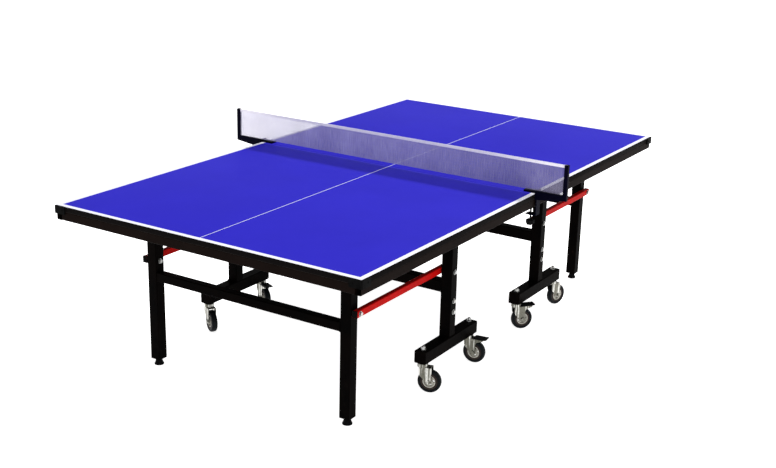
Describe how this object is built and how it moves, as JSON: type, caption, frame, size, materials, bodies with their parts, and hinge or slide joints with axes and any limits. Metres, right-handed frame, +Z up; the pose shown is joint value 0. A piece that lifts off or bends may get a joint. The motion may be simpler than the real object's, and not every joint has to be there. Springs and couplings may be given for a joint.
{
  "type": "folding ping pong table",
  "caption": "Folding ping pong table with two wheeled halves, fold linkages, braked casters, levelling feet and a clamped net.",
  "frame": {"origin": "centre of the footprint at floor level, under the net", "axes": "+X along the length, from half a to half b; +Y across the table, to the left side; +Z up"},
  "size_m": [2.755, 1.83, 0.9125],
  "materials": {
    "board": "blue painted wood board with white lines, semi-matt",
    "frame": "black powder coat",
    "protector": "black moulded plastic",
    "bolt": "bright zinc",
    "link": "red powder coat",
    "levelling": "black moulded plastic",
    "mesh": "fine dark mesh",
    "tape": "white woven band",
    "clamp": "dark blue-black powder coat",
    "pad": "black rubber",
    "knob": "black moulded plastic",
    "fork": "zinc-plated pressed steel",
    "hub": "grey moulded nylon",
    "tyre": "dark rubber",
    "pedal": "black moulded plastic"
  },
  "bodies": {
    "under_frame_a": {"wheeled_frame_a": "frame", "frame_bolts_a": "bolt"},
    "table_top_a": {"board_a": "board", "top_frame_a": "frame", "corner_protectors_a": "protector"},
    "legs_a": {"leg_frame_a": "frame", "link_bolts_a": "bolt"},
    "fold_links_a": {"links_a": "link"},
    "levelling_foot_a_right": {"levelling_foot_a_right": "levelling"},
    "levelling_foot_a_left": {"levelling_foot_a_left": "levelling"},
    "caster_a1": {"caster_fork_a1": "fork"},
    "wheel_a1": {"caster_hub_a1": "hub", "caster_tyre_a1": "tyre"},
    "caster_a2": {"caster_fork_a2": "fork"},
    "wheel_a2": {"caster_hub_a2": "hub", "caster_tyre_a2": "tyre"},
    "brake_pedal_a2": {"caster_pedal_a2": "pedal"},
    "caster_a3": {"caster_fork_a3": "fork"},
    "wheel_a3": {"caster_hub_a3": "hub", "caster_tyre_a3": "tyre"},
    "caster_a4": {"caster_fork_a4": "fork"},
    "wheel_a4": {"caster_hub_a4": "hub", "caster_tyre_a4": "tyre"},
    "brake_pedal_a4": {"caster_pedal_a4": "pedal"},
    "under_frame_b": {"wheeled_frame_b": "frame", "frame_bolts_b": "bolt"},
    "table_top_b": {"board_b": "board", "top_frame_b": "frame", "corner_protectors_b": "protector", "net_clamp_right": "clamp", "net_clamp_left": "clamp"},
    "legs_b": {"leg_frame_b": "frame", "link_bolts_b": "bolt"},
    "fold_links_b": {"links_b": "link"},
    "levelling_foot_b_right": {"levelling_foot_b_right": "levelling"},
    "levelling_foot_b_left": {"levelling_foot_b_left": "levelling"},
    "caster_b1": {"caster_fork_b1": "fork"},
    "wheel_b1": {"caster_hub_b1": "hub", "caster_tyre_b1": "tyre"},
    "caster_b2": {"caster_fork_b2": "fork"},
    "wheel_b2": {"caster_hub_b2": "hub", "caster_tyre_b2": "tyre"},
    "brake_pedal_b2": {"caster_pedal_b2": "pedal"},
    "caster_b3": {"caster_fork_b3": "fork"},
    "wheel_b3": {"caster_hub_b3": "hub", "caster_tyre_b3": "tyre"},
    "caster_b4": {"caster_fork_b4": "fork"},
    "wheel_b4": {"caster_hub_b4": "hub", "caster_tyre_b4": "tyre"},
    "brake_pedal_b4": {"caster_pedal_b4": "pedal"},
    "net": {"net_mesh": "mesh", "net_tape": "tape"},
    "clamp_pad_right": {"clamp_pad_right": "pad"},
    "clamp_screw_right": {"clamp_screw_right": "knob"},
    "clamp_pad_left": {"clamp_pad_left": "pad"},
    "clamp_screw_left": {"clamp_screw_left": "knob"}
  },
  "joints": [
    {"name": "halves_apart", "type": "slide", "parent": "under_frame_a", "child": "under_frame_b", "axis": [1, 0, 0], "range_m": [0, 0.25]},
    {"name": "fold_a", "type": "hinge", "parent": "under_frame_a", "child": "table_top_a", "pos_m": [-0.385, 0, 0.714], "axis": [0, 1, 0], "range_deg": [0, 90]},
    {"name": "leg_fold_a", "type": "hinge", "parent": "table_top_a", "child": "legs_a", "pos_m": [-1.02, 0, 0.714], "axis": [0, 1, 0], "range_deg": [-90, 0]},
    {"name": "link_fold_a", "type": "hinge", "parent": "under_frame_a", "child": "fold_links_a", "pos_m": [-0.43, 0, 0.485], "axis": [0, 1, 0], "range_deg": [0, 90]},
    {"name": "level_a_right", "type": "slide", "parent": "legs_a", "child": "levelling_foot_a_right", "axis": [0, 0, -1], "range_m": [0, 0.015]},
    {"name": "level_a_left", "type": "slide", "parent": "legs_a", "child": "levelling_foot_a_left", "axis": [0, 0, -1], "range_m": [0, 0.015]},
    {"name": "swivel_a1", "type": "hinge", "parent": "under_frame_a", "child": "caster_a1", "pos_m": [-0.627, -0.588, 0.13], "axis": [0, 0, 1], "continuous": true},
    {"name": "roll_a1", "type": "hinge", "parent": "caster_a1", "child": "wheel_a1", "pos_m": [-0.61764, -0.6186, 0.052], "axis": [0.9563, 0.2924, 0], "continuous": true},
    {"name": "swivel_a2", "type": "hinge", "parent": "under_frame_a", "child": "caster_a2", "pos_m": [-0.233, -0.588, 0.13], "axis": [0, 0, 1], "continuous": true},
    {"name": "roll_a2", "type": "hinge", "parent": "caster_a2", "child": "wheel_a2", "pos_m": [-0.2291, -0.61976, 0.052], "axis": [0.9925, 0.1219, 0], "continuous": true},
    {"name": "brake_a2", "type": "hinge", "parent": "caster_a2", "child": "brake_pedal_a2", "pos_m": [-0.22886, -0.62175, 0.112], "axis": [-0.9925, -0.1219, 0], "range_deg": [0, 8]},
    {"name": "swivel_a3", "type": "hinge", "parent": "under_frame_a", "child": "caster_a3", "pos_m": [-0.627, 0.588, 0.13], "axis": [0, 0, 1], "continuous": true},
    {"name": "roll_a3", "type": "hinge", "parent": "caster_a3", "child": "wheel_a3", "pos_m": [-0.64348, 0.56057, 0.052], "axis": [0.8572, -0.515, 0], "continuous": true},
    {"name": "swivel_a4", "type": "hinge", "parent": "under_frame_a", "child": "caster_a4", "pos_m": [-0.233, 0.588, 0.13], "axis": [0, 0, 1], "continuous": true},
    {"name": "roll_a4", "type": "hinge", "parent": "caster_a4", "child": "wheel_a4", "pos_m": [-0.24703, 0.55924, 0.052], "axis": [0.8988, -0.4384, 0], "continuous": true},
    {"name": "brake_a4", "type": "hinge", "parent": "caster_a4", "child": "brake_pedal_a4", "pos_m": [-0.2479, 0.55744, 0.112], "axis": [-0.8988, 0.4384, 0], "range_deg": [0, 8]},
    {"name": "fold_b", "type": "hinge", "parent": "under_frame_b", "child": "table_top_b", "pos_m": [0.385, 0, 0.714], "axis": [0, -1, 0], "range_deg": [0, 90]},
    {"name": "leg_fold_b", "type": "hinge", "parent": "table_top_b", "child": "legs_b", "pos_m": [1.02, 0, 0.714], "axis": [0, -1, 0], "range_deg": [-90, 0]},
    {"name": "link_fold_b", "type": "hinge", "parent": "under_frame_b", "child": "fold_links_b", "pos_m": [0.43, 0, 0.485], "axis": [0, -1, 0], "range_deg": [0, 90]},
    {"name": "level_b_right", "type": "slide", "parent": "legs_b", "child": "levelling_foot_b_right", "axis": [0, 0, -1], "range_m": [0, 0.015]},
    {"name": "level_b_left", "type": "slide", "parent": "legs_b", "child": "levelling_foot_b_left", "axis": [0, 0, -1], "range_m": [0, 0.015]},
    {"name": "swivel_b1", "type": "hinge", "parent": "under_frame_b", "child": "caster_b1", "pos_m": [0.627, -0.588, 0.13], "axis": [0, 0, 1], "continuous": true},
    {"name": "roll_b1", "type": "hinge", "parent": "caster_b1", "child": "wheel_b1", "pos_m": [0.65707, -0.59894, 0.052], "axis": [0.342, 0.9397, 0], "continuous": true},
    {"name": "swivel_b2", "type": "hinge", "parent": "under_frame_b", "child": "caster_b2", "pos_m": [0.233, -0.588, 0.13], "axis": [0, 0, 1], "continuous": true},
    {"name": "roll_b2", "type": "hinge", "parent": "caster_b2", "child": "wheel_b2", "pos_m": [0.25751, -0.60857, 0.052], "axis": [0.6428, 0.766, 0], "continuous": true},
    {"name": "brake_b2", "type": "hinge", "parent": "caster_b2", "child": "brake_pedal_b2", "pos_m": [0.25905, -0.60986, 0.112], "axis": [-0.6428, -0.766, 0], "range_deg": [0, 8]},
    {"name": "swivel_b3", "type": "hinge", "parent": "under_frame_b", "child": "caster_b3", "pos_m": [0.627, 0.588, 0.13], "axis": [0, 0, 1], "continuous": true},
    {"name": "roll_b3", "type": "hinge", "parent": "caster_b3", "child": "wheel_b3", "pos_m": [0.63794, 0.55793, 0.052], "axis": [0.9397, 0.342, 0], "continuous": true},
    {"name": "swivel_b4", "type": "hinge", "parent": "under_frame_b", "child": "caster_b4", "pos_m": [0.233, 0.588, 0.13], "axis": [0, 0, 1], "continuous": true},
    {"name": "roll_b4", "type": "hinge", "parent": "caster_b4", "child": "wheel_b4", "pos_m": [0.22744, 0.55649, 0.052], "axis": [0.9848, -0.1736, 0], "continuous": true},
    {"name": "brake_b4", "type": "hinge", "parent": "caster_b4", "child": "brake_pedal_b4", "pos_m": [0.2271, 0.55452, 0.112], "axis": [-0.9848, 0.1736, 0], "range_deg": [0, 8]},
    {"name": "net_lift", "type": "slide", "parent": "table_top_b", "child": "net", "axis": [0, 0, 1], "range_m": [0, 0.16]},
    {"name": "pad_right", "type": "slide", "parent": "table_top_b", "child": "clamp_pad_right", "axis": [0, 0, -1], "range_m": [0, 0.018]},
    {"name": "screw_right", "type": "hinge", "parent": "clamp_pad_right", "child": "clamp_screw_right", "pos_m": [0.023, -0.7355, 0.64], "axis": [0, 0, 1], "range_deg": [0, 3240]},
    {"name": "pad_left", "type": "slide", "parent": "table_top_b", "child": "clamp_pad_left", "axis": [0, 0, -1], "range_m": [0, 0.018]},
    {"name": "screw_left", "type": "hinge", "parent": "clamp_pad_left", "child": "clamp_screw_left", "pos_m": [0.023, 0.7355, 0.64], "axis": [0, 0, 1], "range_deg": [0, 3240]}
  ],
  "couplings": [
    {"joint": "leg_fold_a", "follows": "fold_a", "ratio": -1},
    {"joint": "link_fold_a", "follows": "fold_a", "ratio": 1},
    {"joint": "leg_fold_b", "follows": "fold_b", "ratio": -1},
    {"joint": "link_fold_b", "follows": "fold_b", "ratio": 1},
    {"joint": "halves_apart", "follows": "fold_b", "m_per_rad": 0.14},
    {"joint": "pad_right", "follows": "screw_right", "m_per_rad": 0.00031831},
    {"joint": "pad_left", "follows": "screw_left", "m_per_rad": 0.00031831}
  ]
}
